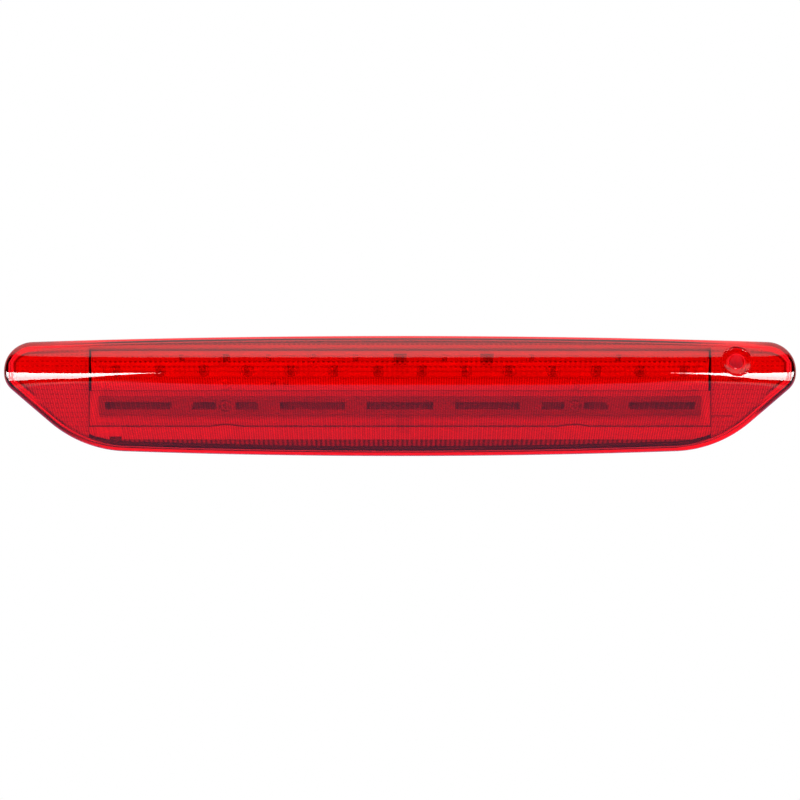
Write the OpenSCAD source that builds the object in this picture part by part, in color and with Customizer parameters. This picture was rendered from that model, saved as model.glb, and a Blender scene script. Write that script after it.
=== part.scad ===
// Third brake light: a long red lens welded to a black housing, with a row of LEDs behind its nose.
// X runs along the lamp, Z is up and the lens faces -Y. The vehicle's skin is the plane Y = 0.

/* [Lamp] */
// Length over the two tips
lamp_length = 395; // [320:1:480]
// Height over the lens
lamp_height = 60; // [56:1:75]
// Distance from the vehicle's skin to the front of the nose
nose_depth = 25.5; // [24:0.5:34]
// Length of the end zone beside the row of lights
end_zone = 42.5; // [38:0.5:50]

/* [Lens outline] */
// Rise of the top edge from the corners to the middle
top_bow = 3; // [1:0.5:6]
// Drop of the bottom edge from the corners to the middle
bottom_bow = 2.4; // [1:0.2:5]
// Length of the top edge that each top corner's round takes
top_corner = 14; // [10:0.5:14]
// Length of the slanted end that the tip's round takes
tip_corner = 5; // [3:0.5:5]
// Length of the bottom edge that each bottom corner's round takes
bottom_corner = 21; // [12:1:26]
// Length of the slanted end, measured along the lamp
end_slant = 39; // [30:1:45]
// Distance from the top edge down to the slanted end's upper corner
tip_drop = 23.5; // [23.5:0.5:28]

/* [Lens form] */
// Wall of the lens
lens_wall = 2.6; // [2:0.1:3.4]
// Height of the sloping band above the nose
upper_band = 10.5; // [8:0.5:12]
// Height of the nose band, which covers the lights
nose_band = 14; // [12:0.5:17]
// Slope of the upper band, as depth over height
upper_slope = 1.1; // [0.8:0.05:1.2]
// Radius of the nose band's round
nose_radius = 40; // [30:1:80]
// Distance from the upper bend down to the foremost line of the nose
nose_line = 9; // [6:0.5:12]
// How far the lower face falls back between the nose and the bottom edge
lower_fall = 12.1; // [7:0.1:13]
// Part of the nose that is gone at the tips
end_sweep = 0.62; // [0.4:0.02:0.66]
// Width of the soft bend between two bands
bend = 0.3; // [0.2:0.1:1]
// Round of the lens's front edge
edge_round = 1.8; // [1:0.2:2.4]

/* [Housing] */
// Thickness of the flange
flange_t = 4; // [4:0.5:6]
// Distance from the flange's edge to the lens's edge
flange_inset = 0.8; // [0.4:0.1:2]
// Wall of the pod and of the weld rib
housing_wall = 2; // [1.6:0.2:3]
// Height of the weld rib in front of the flange
rib_h = 2; // [1.4:0.2:2.2]
// Depth of the pod behind the vehicle's skin
pod_depth = 14; // [12:1:20]
// Height of the pod
pod_height = 40; // [34:1:42]
// Distance from the row of lights down to the middle of the pod
pod_drop = 12.5; // [9:0.5:14]
// Round of the pod's corners
pod_corner = 8; // [6:0.5:10]
// Distance from a stud to the end of the pod
pod_gap = 16; // [12:1:20]

/* [Lights] */
// Number of LEDs
led_count = 14; // [12:2:18]
// Distance from the last LED to the end of the row's window
led_margin = 13.6; // [11:0.2:18]
// Width of an LED
led_w = 3.4; // [2.8:0.1:4]
// Height of an LED's body above the board
led_h = 1.8; // [1.2:0.1:2.2]
// Radius of an LED's dome
dome_r = 1.2; // [0.8:0.1:1.3]
// Height of the board
board_h = 19; // [18:0.5:21]
// Thickness of the board
board_t = 1.6; // [1:0.2:2]
// Height of the optic strip
strip_h = 10; // [9:0.5:11]
// Thickness of the optic strip
strip_t = 4.3; // [3:0.1:5]
// Radius of an optic strip's eye at its LED
eye_r = 3; // [2.2:0.1:3.6]

/* [Reflectors] */
// Sheet of the reflectors
sheet = 1.4; // [1:0.1:1.8]
// Height of the slotted rail
rail_h = 9.6; // [8:0.2:10]
// Depth of the slotted rail
rail_t = 5; // [3:0.5:6]
// Height of the rail's slots
slot_h = 3.6; // [2:0.2:4]
// Distance from the rail to the step of the lower reflector
step_drop = 5; // [4:0.5:7]
// Depth of the lower reflector's step
step_depth = 2.2; // [1.6:0.2:2.4]

/* [Mounting] */
// Diameter of the stud's thread
stud_d = 5; // [4:0.5:6]
// Length of the stud behind the vehicle's skin
stud_reach = 20; // [14:1:30]
// Distance from the tip of the lamp to the stud
stud_inset = 77.5; // [70:0.5:90]
// Step from the stud's thread out to its plain collar, which ends at the vehicle's skin
collar_step = 0.4; // [0.3:0.1:1]
// Diameter of the stud's moulded-in head
stud_head_d = 11; // [9:0.5:13]
// Width of the rubber ring round each stud
seal_w = 3.5; // [2:0.5:5]
// Thickness of the foam gasket
gasket_t = 2; // [1.5:0.25:3]
// Distance from the gasket's edge to the lens's edge
gasket_inset = 4; // [3:0.5:6]

/* [Washer nozzle] */
// Diameter of the hole for the nozzle
nozzle_bore = 7.8; // [6:0.1:9]
// Wall of the tube behind it
tube_wall = 1.3; // [1:0.1:2]
// Diameter of the flat seat around the hole
seat_d = 14.5; // [12:0.5:16]
// Depth of the seat below the nose's surface
seat_sink = 2.8; // [2.4:0.1:3.2]
// Height of the thin rim around the seat
seat_rim = 1; // [0.8:0.1:1.6]
// Upward tilt of the hole
nozzle_tilt = 24; // [16:1:28]
// Distance from the lamp's right tip to the hole
nozzle_inset = 30; // [28:0.5:34]
// Distance from the upper bend down to the hole
nozzle_drop = 2.3; // [1:0.1:5]

/* [Connector] */
// Width of the connector socket's inside
socket_w = 16; // [14:0.5:20]
// Height of the connector socket's inside
socket_h = 12; // [10:0.5:14]
// Wall of the socket
socket_wall = 1.6; // [1.2:0.2:2.2]
// Depth of the socket behind the pod
socket_depth = 14; // [12:1:18]
// Distance from the lamp's middle to the socket
socket_x = 60; // [50:1:72]
// Distance between the two terminals
terminal_pitch = 6; // [4:0.5:8]
// Width of a terminal
terminal_w = 2.8; // [2:0.1:3.2]
// Thickness of a terminal
terminal_t = 0.8; // [0.6:0.1:1]
// Thickness of the ring seal
ring_t = 1.5; // [1:0.1:2]

/* [Vent] */
// Radius of the vent's hole
vent_r = 2.5; // [2:0.1:3]
// Radius of the vent's cap
cap_r = 6; // [5.5:0.25:8]

/* [Hidden] */
$fn = 48;
fit = 0.3;                                   // gap between two pieces that are fitted together

// Main lines across the lamp's face
half = lamp_length / 2;
top = lamp_height / 2;
upper_bend = top - upper_band;
lower_bend = upper_bend - nose_band;
window = half - end_zone;                    // half the length of the row's window
led_z = lower_bend + nose_band / 2;
led_pitch = 2 * (window - led_margin) / (led_count - 1);
led_x = [for (i = [0:led_count - 1]) (i - (led_count - 1) / 2) * led_pitch];
pod_x = half - stud_inset - pod_gap;         // half the length of the pod
post_step = 2 * floor((pod_x - 10) / led_pitch / 2);
post_x = post_step * led_pitch;              // screw posts inside the pod, behind an even slot
end_post_x = window - 8;
stud_x = half - stud_inset;
collar_d = stud_d + 2 * collar_step;
pod_z = led_z - pod_drop;
nozzle_x = half - nozzle_inset;
nozzle_z = upper_bend - nozzle_drop;

// Main planes through the lamp's depth, as distances in front of the vehicle's skin
flange_back = gasket_t;
flange_front = flange_back + flange_t;
rim_depth = flange_front + 2;                // the tips of the lens never get thinner than this
board_back = flange_front + 1.4;
board_front = board_back + board_t;
led_front = board_front + led_h + dome_r;
strip_back = led_front + fit;
strip_front = strip_back + 1 + strip_t;
reflector_back = flange_front + 0.6;
reflector_front = reflector_back + sheet;
plate_back = flange_front + rib_h + fit;     // the upper and end reflectors lie in front of the rib
rail_back = reflector_front + fit;
rail_front = rail_back + rail_t;
rail_top = lower_bend - 5.3;
rail_bottom = rail_top - rail_h;
rail_z = (rail_top + rail_bottom) / 2;
step_z = rail_bottom - step_drop;
board_bottom = led_z - board_h / 2;
board_top = led_z + board_h / 2;
screw_z = board_bottom + 3;
lens_edge = lens_wall + fit;                 // inset of the first thing inside the lens's skirt
inner_inset = lens_edge + housing_wall + fit;
tube_r = nozzle_bore / 2 + tube_wall;

// ---- Outline of the lens ----
function unit(v) = v / norm(v);
function turned(v, a) = [v.x * cos(a) - v.y * sin(a), v.x * sin(a) + v.y * cos(a)];
function blend(a, b, t) = a + (b - a) * t;

// Points of the arc that rounds the corner b between a and c and takes a length of each side
function round_corner(a, b, c, side, n) =
    let (u = unit(a - b), v = unit(c - b), half_angle = acos(u * v) / 2,
         radius = side * tan(half_angle), centre = b + unit(u + v) * radius / sin(half_angle),
         spoke = b + u * side - centre)
    [for (i = [0:n]) centre + turned(spoke, (2 * half_angle - 180) * i / n)];

top_end = half - top_corner;
bottom_end = half - end_slant - bottom_corner;
function top_edge(x) = top - top_bow * pow(x / top_end, 2);
function bottom_edge(x) = -top + bottom_bow * pow(x / bottom_end, 2);
corner_a = [half, top_edge(top_end) - 2 * top_bow / top_end * top_corner];
corner_b = [half, top - tip_drop];
corner_c = [half - end_slant, bottom_edge(bottom_end) + 2 * bottom_bow / bottom_end * bottom_corner];

// Right half of the outline, clockwise from the middle of the top to the middle of the bottom
top_run = 16;
slant_run = 4;
bottom_run = 12;
top_round = round_corner([top_end, top_edge(top_end)], corner_a, corner_b, top_corner, 10);
tip_round = round_corner(corner_a, corner_b, corner_c, tip_corner, 4);
bottom_round = round_corner(corner_b, corner_c, [bottom_end, bottom_edge(bottom_end)], bottom_corner, 5);
right_half = concat(
    [for (k = [0:top_run - 1]) let (x = top_end * k / top_run) [x, top_edge(x)]],
    top_round, tip_round,
    [for (k = [1:slant_run - 1]) blend(tip_round[4], bottom_round[0], k / slant_run)],
    bottom_round,
    [for (k = [bottom_run - 1:-1:0]) let (x = bottom_end * k / bottom_run) [x, bottom_edge(x)]]);

// The closed outline, and the grid that it frames: cols from left to right, rows down each end
last = len(right_half) - 1;
rows = 10;
cols = last - rows;
start = cols / 2;                            // the outline starts at the grid's top left corner
loop = concat(right_half, [for (k = [last - 1:-1:1]) [-right_half[k].x, right_half[k].y]]);
count = len(loop);
outline = [for (k = [0:count - 1]) loop[(k + count - start) % count]];

// The outline moved inward by d
function inset(d) = [for (k = [0:count - 1])
    let (a = outline[k] - outline[(k + count - 1) % count], b = outline[(k + 1) % count] - outline[k],
         along = unit(a / (a * a) + b / (b * b)))
    outline[k] + d * [along.y, -along.x]];

// ---- Front surface of the lens ----
// A sloping band, a rounded nose and a sloping lower face, joined by soft bends as a soft minimum
nose_z = upper_bend - nose_line;
lower_slope = lower_fall / (top + lower_bend);
function nose(z) = let (c = max(lower_bend, min(upper_bend, z)))
    nose_depth - pow(c - nose_z, 2) / (2 * nose_radius) - (c - nose_z) / nose_radius * (z - c);
function profile(z) = -bend * ln(
    exp(-(nose(upper_bend) + upper_slope * (upper_bend - z)) / bend) +
    exp(-nose(z) / bend) +
    exp(-(nose(lower_bend) + lower_slope * (z - lower_bend)) / bend));
// Share of the nose that is left at a place along the lamp
function sweep(x) = let (u = min(abs(x) / half, 1)) 1 - end_sweep * (0.25 * pow(u, 2) + 0.75 * pow(u, 6));
function depth(p) = rim_depth + sweep(p.x) * (profile(p.y) - rim_depth);

// Index of a point on the edge of the front surface's grid
function edge_id(i, j) = j == 0 ? i : i == cols ? cols + j : j == rows ? 2 * cols + rows - i
    : i == 0 ? 2 * cols + 2 * rows - j : -1;

// One skin of the lens: five rings up its side and round its edge, then the grid of its front.
// The skin lies d inside the outline and thin behind the front surface.
turns = [0, 30, 60, 90];
rings = len(turns) + 1;
function skin_points(d, thin, edge) = let (face = inset(d + edge)) concat(
    [for (p = inset(d)) [p.x, -flange_front, p.y]],
    [for (a = turns) for (p = inset(d + edge * (1 - cos(a))))
        [p.x, thin + edge * (1 - sin(a)) - depth(p), p.y]],
    [for (i = [1:cols - 1]) for (j = [1:rows - 1])
        let (p = blend(face[i], face[edge_id(i, rows)], j / rows)) [p.x, thin - depth(p), p.y]]);
skin_size = rings * count + (cols - 1) * (rows - 1);
function grid_id(i, j) = edge_id(i, j) >= 0 ? (rings - 1) * count + edge_id(i, j) % count
    : rings * count + (i - 1) * (rows - 1) + j - 1;
skin_faces = concat(
    [for (r = [0:rings - 2]) for (k = [0:count - 1]) let (a = r * count + k, b = r * count + (k + 1) % count)
        each [[a, b, b + count], [a, b + count, a + count]]],
    [for (i = [0:cols - 1]) for (j = [0:rows - 1])
        let (a = grid_id(i, j), b = grid_id(i + 1, j), c = grid_id(i + 1, j + 1), d = grid_id(i, j + 1))
        each [[a, b, c], [a, c, d]]]);

// The outer skin, the inner skin turned inside out, and the rim between their first rings
module lens_shell() {
    inside = skin_size;
    polyhedron(
        points = concat(skin_points(0, 0, edge_round),
            skin_points(lens_wall, lens_wall * 1.1, edge_round / 2)),
        faces = concat(skin_faces,
            [for (f = skin_faces) [f[2] + inside, f[1] + inside, f[0] + inside]],
            [for (k = [0:count - 1]) let (n = (k + 1) % count)
                each [[n, k, k + inside], [n, k + inside, n + inside]]]));
}

// ---- Shared shapes ----
// A flat shape drawn in X and Z, from y = -front to y = -back
module slab(back, front) {
    translate([0, -back, 0]) rotate([90, 0, 0]) linear_extrude(front - back) children();
}

// A round bar along Y
module bar(r, back, front, x, z) {
    translate([x, -back, z]) rotate([90, 0, 0]) cylinder(h = front - back, r = r);
}

// A box around the middle of X and Z
module box(w, h, back, front, x, z) {
    slab(back, front) translate([x, z]) square([w, h], center = true);
}

module rounded(w, h, r) {
    square([w - 2 * r, h], center = true);
    square([w, h - 2 * r], center = true);
    for (x = [-1, 1]) for (z = [-1, 1])
        translate([x * (w / 2 - r), z * (h / 2 - r)]) circle(r);
}

module outline_shape(d) {
    points = inset(d);
    polygon([for (k = [count - 1:-1:0]) points[k]]);
}

// ---- Lens ----
nozzle_depth = depth([nozzle_x, nozzle_z]);
seat_depth = nozzle_depth - seat_sink;
seat_lip = 0.8;
tube_length = (seat_depth - tube_r * sin(nozzle_tilt)) / cos(nozzle_tilt);

// Height of the tilted hole's axis at a distance in front of the vehicle's skin
function nozzle_axis(y) = nozzle_z - (seat_depth - y) * tan(nozzle_tilt);

// A round bar on that axis, from a distance behind the seat to a distance in front of it
module nozzle_bar(r, back, front) {
    translate([nozzle_x, -seat_depth, nozzle_z]) rotate([90 - nozzle_tilt, 0, 0])
        translate([0, 0, -back]) cylinder(h = front + back, r = r);
}

module outer_lens() {
    color([0.72, 0.02, 0.06])
    difference() {
        union() {
            lens_shell();
            nozzle_bar(seat_d / 2 + seat_lip, 1.4 * lens_wall, seat_rim);
            nozzle_bar(tube_r, tube_length, -lens_wall);
        }
        nozzle_bar(seat_d / 2, 0, seat_d);
        nozzle_bar(nozzle_bore / 2, tube_length + 1, seat_d);
    }
}

// ---- Housing ----
post_r = 3;
pilot_r = 1;
pod_floor = housing_wall - pod_depth;        // front face of the pod's back wall
socket_z = led_z - 6;
vent_x = socket_x;

module pod(clearance) {
    translate([0, pod_z])
        rounded(2 * (pod_x + clearance), pod_height + 2 * clearance, pod_corner + clearance);
}

module housing() {
    color([0.07, 0.07, 0.08])
    difference() {
        union() {
            difference() {
                union() {
                    slab(flange_back, flange_front) outline_shape(flange_inset);
                    slab(flange_front, flange_front + rib_h) difference() {
                        outline_shape(lens_edge);
                        outline_shape(lens_edge + housing_wall);
                    }
                    slab(-pod_depth, flange_back) pod(0);
                }
                slab(pod_floor, flange_front + 1) pod(-housing_wall);
            }
            for (x = [-1, 1]) {
                bar(post_r, pod_floor, board_back, x * post_x, screw_z);
                bar(post_r, pod_floor, rail_back, x * post_x, rail_z);
                bar(post_r, flange_front, board_back, x * end_post_x, screw_z);
            }
        }
        for (x = [-1, 1]) {
            bar(pilot_r, 0, board_back + 1, x * post_x, screw_z);
            bar(pilot_r, 0, rail_back + 1, x * post_x, rail_z);
            bar(pilot_r, flange_back + 0.6, board_back + 1, x * end_post_x, screw_z);
            bar(collar_d / 2, flange_back - 1, flange_back + 1, x * stud_x, 0);
            bar(stud_head_d / 2, flange_back + 1, flange_front - 1, x * stud_x, 0);
        }
        nozzle_bar(tube_r + fit / 2, tube_length + 4, -tube_length / 2);
        slab(-pod_depth - 1, pod_floor + 1) translate([-socket_x, socket_z])
            rounded(socket_w + 2 * socket_wall, socket_h + 2 * socket_wall, 2);
        bar(vent_r, -pod_depth - 1, pod_floor + 1, vent_x, pod_z);
    }
}

// ---- Board and what is soldered to it ----
part_z = led_z + 5.5;                        // row of small parts above the LEDs

module led_board() {
    color([0.85, 0.86, 0.84])
    difference() {
        box(2 * (window - 1), board_h, board_back, board_front, 0, led_z);
        for (x = [-end_post_x, -post_x, post_x, end_post_x])
            bar(pilot_r + fit, board_back - 1, board_front + 1, x, screw_z);
        for (x = [-1, 1])
            bar(lead_r, board_back - 1, board_front + 1, x * terminal_pitch / 2 - socket_x, socket_z);
    }
}

module leds() {
    color([0.95, 0.93, 0.85])
    for (x = led_x) {
        box(led_w, led_w, board_front, board_front + led_h, x, led_z);
        bar(dome_r, board_front + led_h, led_front, x, led_z);
    }
}

// Small block soldered to the board's front, beside the LED with the given number
module board_part(w, h, t, i, side) {
    box(w, h, board_front, board_front + t, led_x[i] + side * led_pitch / 2, part_z);
}

module led_resistors() {
    color([0.12, 0.12, 0.13])
    for (i = [1:2:led_count - 2]) board_part(3.2, 1.6, 0.6, i, 1);
}

module protection_diode() {
    color([0.1, 0.1, 0.1]) board_part(4.3, 2.6, 2, 2, 1);
}

module current_drivers() {
    color([0.1, 0.1, 0.11])
    for (i = [6, led_count - 6]) board_part(6.5, 3.5, 1.7, i, 1);
}

module smoothing_capacitor() {
    color([0.65, 0.66, 0.68]) board_part(3.6, 3.6, 2.6, 4, 1);
}

// ---- Optics ----
module optic_strip() {
    color([0.9, 0.92, 0.95])
    union() {
        box(2 * (window - 3), strip_h, strip_back + 1, strip_front, 0, led_z + 1);
        for (x = led_x) bar(eye_r, strip_back, strip_back + 1, x, led_z);
        for (x = [-1, 1])
            box(4, 4, board_front, strip_back + 1, x * (window - 5), led_z);
    }
}

module carrier_rail() {
    slot_w = 1.5 * led_pitch;
    slots = floor((led_count - 1) / 4);
    color([0.2, 0.05, 0.06])
    difference() {
        box(2 * (window - 5), rail_h, rail_back, rail_front, 0, rail_z);
        for (k = [-slots:slots]) if (abs(2 * k) != post_step)
            box(slot_w, slot_h, rail_back - 1, rail_front + 1, 2 * k * led_pitch, rail_z);
        for (x = [-1, 1]) {
            for (side = [-1, 1])
                box(slot_w / 2 - 5, slot_h, rail_back - 1, rail_front + 1,
                    x * post_x + side * (slot_w / 4 + 2.5), rail_z);
            bar(pilot_r + fit, rail_back - 1, rail_front + 1, x * post_x, rail_z);
            bar(head_r + fit, rail_front - head_t, rail_front + 1, x * post_x, rail_z);
        }
    }
}

module lower_reflector() {
    shelf = reflector_front + step_depth;
    upper_edge = board_bottom - fit / 2;
    color([0.82, 0.83, 0.85])
    difference() {
        intersection() {
            union() {
                box(2 * window, upper_edge - step_z, reflector_back, reflector_front,
                    0, (upper_edge + step_z) / 2);
                box(2 * window, sheet, reflector_back, shelf, 0, step_z - sheet / 2);
                box(2 * window, lamp_height, shelf - sheet, shelf, 0, step_z - lamp_height / 2);
            }
            slab(0, nose_depth) outline_shape(inner_inset);
        }
        for (x = [-post_x, post_x])
            bar(post_r + fit, reflector_back - 1, reflector_front + 1, x, rail_z);
    }
}

// Three steps that climb back towards the lens's top edge
module upper_reflector() {
    low = board_top + 0.5;
    steps = [[1.5, 4.6], [3, 3.6], [top, 2.6]];  // height of each step and its depth
    color([0.82, 0.83, 0.85])
    for (s = steps)
        slab(plate_back, plate_back + s[1]) intersection() {
            outline_shape(lens_edge + 2 * fit);
            translate([-window, low]) square([2 * window, s[0]]);
        }
}

// Plate beside the row's window, with the wall that closes the window's end
module end_reflector(side) {
    inner = window + fit;
    wall_top = upper_bend - 1;
    wall_low = lower_bend - 1;
    color([0.8, 0.8, 0.83])
    difference() {
        union() {
            intersection() {
                slab(plate_back, plate_back + sheet) outline_shape(lens_edge + 2 * fit);
                box(end_zone, lamp_height, 0, nose_depth, side * (inner + end_zone / 2), 0);
            }
            box(sheet, wall_top - wall_low, reflector_back, rail_front, side * (inner + sheet / 2),
                (wall_top + wall_low) / 2);
        }
        nozzle_bar(tube_r + fit, tube_length, 0);
    }
}

module left_end_reflector() {
    end_reflector(-1);
}

module right_end_reflector() {
    end_reflector(1);
}

// ---- Screws ----
head_r = 2.6;
head_t = 1.6;

module screw(x, z, front, length) {
    difference() {
        union() {
            bar(head_r, front - head_t, front, x, z);
            bar(pilot_r, front - head_t - length, front - head_t, x, z);
        }
        box(0.6, 3, front - 0.8, front + 1, x, z);
        box(3, 0.6, front - 0.8, front + 1, x, z);
    }
}

module board_screws() {
    color([0.75, 0.75, 0.78]) {
        for (x = [-post_x, post_x]) screw(x, screw_z, board_front + head_t, 7);
        for (x = [-end_post_x, end_post_x]) screw(x, screw_z, board_front + head_t, 5);
    }
}

module rail_screws() {
    color([0.75, 0.75, 0.78])
    for (x = [-post_x, post_x]) screw(x, rail_z, rail_front, 8);
}

// ---- Connector ----
socket_end = -pod_depth - socket_depth;
lead_r = 0.8;

module socket_shape(wall) {
    rounded(socket_w + 2 * wall, socket_h + 2 * wall, 1 + wall / 2);
}

module connector_socket() {
    color([0.1, 0.1, 0.11])
    difference() {
        union() {
            slab(socket_end, -pod_depth) translate([-socket_x, socket_z]) socket_shape(socket_wall);
            slab(-pod_depth, pod_floor) translate([-socket_x, socket_z])
                rounded(socket_w + 2 * socket_wall, socket_h + 2 * socket_wall, 2);
            slab(-pod_depth - ring_t - 2, -pod_depth - ring_t) translate([-socket_x, socket_z])
                socket_shape(socket_wall + 3);
        }
        slab(socket_end - 1, -pod_depth) translate([-socket_x, socket_z]) socket_shape(0);
        for (x = [-1, 1])
            box(terminal_w, terminal_t, -pod_depth - 1, pod_floor + 1,
                x * terminal_pitch / 2 - socket_x, socket_z);
    }
}

module connector_terminals() {
    color([0.8, 0.78, 0.7])
    for (x = [-1, 1])
        box(terminal_w, terminal_t, socket_end + 4, pod_floor + 3,
            x * terminal_pitch / 2 - socket_x, socket_z);
}

module connector_seal() {
    color([0.15, 0.15, 0.16])
    slab(-pod_depth - ring_t, -pod_depth) translate([-socket_x, socket_z]) difference() {
        socket_shape(socket_wall + 2.4);
        socket_shape(socket_wall);
    }
}

module board_leads() {
    color([0.7, 0.1, 0.1])
    for (x = [-1, 1])
        bar(lead_r, pod_floor + 3, board_front + 0.6, x * terminal_pitch / 2 - socket_x, socket_z);
}

// ---- Mounting ----
module mounting_studs() {
    color([0.72, 0.74, 0.76])
    for (x = [-1, 1]) {
        bar(stud_head_d / 2, flange_back + 1, flange_front - 1, x * stud_x, 0);
        bar(collar_d / 2, 0, flange_back + 1, x * stud_x, 0);
        bar(stud_d / 2, -stud_reach, 0, x * stud_x, 0);
    }
}

module stud_seals() {
    color([0.12, 0.12, 0.13])
    for (x = [-1, 1]) difference() {
        bar(collar_d / 2 + seal_w, 0, flange_back, x * stud_x, 0);
        bar(collar_d / 2, -1, flange_back + 1, x * stud_x, 0);
    }
}

module foam_gasket() {
    color([0.18, 0.18, 0.19])
    slab(0, flange_back) difference() {
        outline_shape(gasket_inset);
        pod(fit);
        for (x = [-1, 1]) translate([x * stud_x, 0]) circle(collar_d / 2 + seal_w + fit);
        translate([nozzle_x, nozzle_axis(flange_back / 2)]) circle(tube_r / cos(nozzle_tilt) + 1);
    }
}

// ---- Washer nozzle seal ----
seal_t = 2;
seal_r = tube_r / cos(nozzle_tilt) + 2;
seal_z = nozzle_axis(flange_front + seal_t / 2);

module nozzle_seal() {
    color([0.14, 0.14, 0.15])
    difference() {
        bar(seal_r, flange_front, flange_front + seal_t, nozzle_x, seal_z);
        nozzle_bar(tube_r, tube_length, 0);
    }
}

// ---- Vent ----
membrane_t = 0.3;
cap_t = 3;

module vent_membrane() {
    color([0.92, 0.92, 0.9]) bar(vent_r + 1.5, -pod_depth - membrane_t, -pod_depth, vent_x, pod_z);
}

module vent_cap() {
    color([0.1, 0.1, 0.1])
    difference() {
        bar(cap_r, -pod_depth - cap_t, -pod_depth, vent_x, pod_z);
        bar(cap_r - 1.4, -pod_depth - cap_t + 1.2, -pod_depth + 1, vent_x, pod_z);
        for (a = [0, 90]) translate([vent_x, 0, pod_z]) rotate([0, a, 0])
            box(2 * cap_r + 2, 2, -pod_depth - 1, -pod_depth + 1, 0, 0);
    }
}

outer_lens();
housing();
led_board();
leds();
led_resistors();
protection_diode();
current_drivers();
smoothing_capacitor();
optic_strip();
carrier_rail();
lower_reflector();
upper_reflector();
left_end_reflector();
right_end_reflector();
board_screws();
rail_screws();
connector_socket();
connector_terminals();
connector_seal();
board_leads();
mounting_studs();
stud_seals();
foam_gasket();
nozzle_seal();
vent_membrane();
vent_cap();
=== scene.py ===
import math
import bmesh
import bpy
from mathutils import Matrix, Vector


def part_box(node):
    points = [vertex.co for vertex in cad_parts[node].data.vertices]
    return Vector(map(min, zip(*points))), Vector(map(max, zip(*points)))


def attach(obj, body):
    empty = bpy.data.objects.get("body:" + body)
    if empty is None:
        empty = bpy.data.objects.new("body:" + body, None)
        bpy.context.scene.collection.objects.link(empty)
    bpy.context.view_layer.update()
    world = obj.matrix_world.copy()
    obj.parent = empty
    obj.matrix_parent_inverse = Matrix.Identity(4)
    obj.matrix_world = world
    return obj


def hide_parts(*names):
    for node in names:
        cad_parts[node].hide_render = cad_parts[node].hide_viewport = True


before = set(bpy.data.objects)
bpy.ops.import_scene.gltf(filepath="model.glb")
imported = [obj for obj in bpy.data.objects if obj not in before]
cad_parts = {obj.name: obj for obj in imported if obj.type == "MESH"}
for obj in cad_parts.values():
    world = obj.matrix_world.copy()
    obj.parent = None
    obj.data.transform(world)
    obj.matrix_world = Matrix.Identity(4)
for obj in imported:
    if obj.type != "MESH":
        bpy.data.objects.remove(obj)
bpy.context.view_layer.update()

# ---------------------------------------------------------------------------
# Camera and studio
# The lamp hangs level in front of the camera, as on the tailgate. A white ceiling, a dark
# room at eye level, two long side cards and a pale floor give the reflections on the lens.
# ---------------------------------------------------------------------------
MM = 0.001
CAMERA_DISTANCE = 2.2
VIEW_WIDTH = 0.4

camera = bpy.data.objects.new("camera", bpy.data.cameras.new("camera"))
bpy.context.scene.collection.objects.link(camera)
bpy.context.scene.camera = camera
camera.data.lens = camera.data.sensor_width * CAMERA_DISTANCE / VIEW_WIDTH
camera.data.clip_start = 0.05
camera.location = (0, -CAMERA_DISTANCE - 7 * MM, -2 * MM)
camera.rotation_euler = (math.radians(90), 0, 0)
bpy.context.scene.view_settings.view_transform = "Standard"


class Wire:
    """A shader socket. Operators on it add Math nodes, and node() adds any other node."""

    def __init__(self, tree, socket=None):
        self.tree = tree
        self.socket = socket

    def node(self, kind, settings=None, sockets=None, out=0):
        made = self.tree.nodes.new(kind)
        for key, value in (settings or {}).items():
            setattr(made, key, value)
        for key, value in (sockets or {}).items():
            if isinstance(value, Wire):
                self.tree.links.new(value.socket, made.inputs[key])
            else:
                made.inputs[key].default_value = value
        return Wire(self.tree, made.outputs[out] if made.outputs else None)

    def math(self, operation, *others):
        return self.node("ShaderNodeMath", {"operation": operation}, dict(enumerate((self, *others))))

    def __add__(self, other):
        return self.math("ADD", other)

    __radd__ = __add__

    def __sub__(self, other):
        return self.math("SUBTRACT", other)

    def __rsub__(self, other):
        return self * -1 + other

    def __mul__(self, other):
        return self.math("MULTIPLY", other)

    __rmul__ = __mul__

    def __truediv__(self, other):
        return self.math("DIVIDE", other)

    def __abs__(self):
        return self.math("ABSOLUTE")

    def capped(self):
        return self.math("MINIMUM", 1.0)

    def step(self, low, high):
        """0 below low, 1 above high, and a smooth rise between them."""
        return self.node("ShaderNodeMapRange", {"interpolation_type": "SMOOTHSTEP"},
                         {0: self, 1: low, 2: high, 3: 0.0, 4: 1.0})

    def band(self, low, high, soft):
        """1 between low and high."""
        return self.step(low - soft, low + soft) * (1 - self.step(high - soft, high + soft))

    def wave(self, pitch, shift=0.0):
        """0 to 1 and back once in every pitch."""
        return 0.5 - 0.5 * ((self + shift) * (2 * math.pi / pitch)).math("COSINE")

    def mix(self, first, second):
        """The first colour where this is 0 and the second where it is 1."""
        return self.node("ShaderNodeMix", {"data_type": "RGBA"}, {0: self, 6: first, 7: second}, 2)


# What a ray sees of the room, by its direction
world = bpy.data.worlds.new("studio")
bpy.context.scene.world = world
world.use_nodes = True
world.node_tree.nodes.clear()
room = Wire(world.node_tree)
direction = room.node("ShaderNodeTexCoord")
direction_x, direction_y, direction_z = [
    room.node("ShaderNodeSeparateXYZ", {}, {0: direction}, axis) for axis in range(3)]
behind = direction_y.step(-0.05, 0.05)
ceiling = direction_z.step(0.75, 0.79)
side_lift = 0.18 * abs(direction_x).step(0.03, 0.18)
below = 1 - (direction_z - side_lift).step(-0.47, -0.41)
streak = direction_z.band(-0.27, -0.20, 0.02) * abs(direction_x).step(0.12, 0.3) * (1 - behind)
brightness = ceiling * 1.45 + below * 0.6 + streak * 1.2 + behind * (1 - ceiling) * 0.9 + 0.01
lit = room.node("ShaderNodeBackground", {}, {
    "Color": below.mix((1, 1, 1, 1), (0.55, 0.55, 1.0, 1)), "Strength": brightness})
seen = room.node("ShaderNodeBackground", {}, {"Color": (1, 1, 1, 1), "Strength": 1.0})
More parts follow.
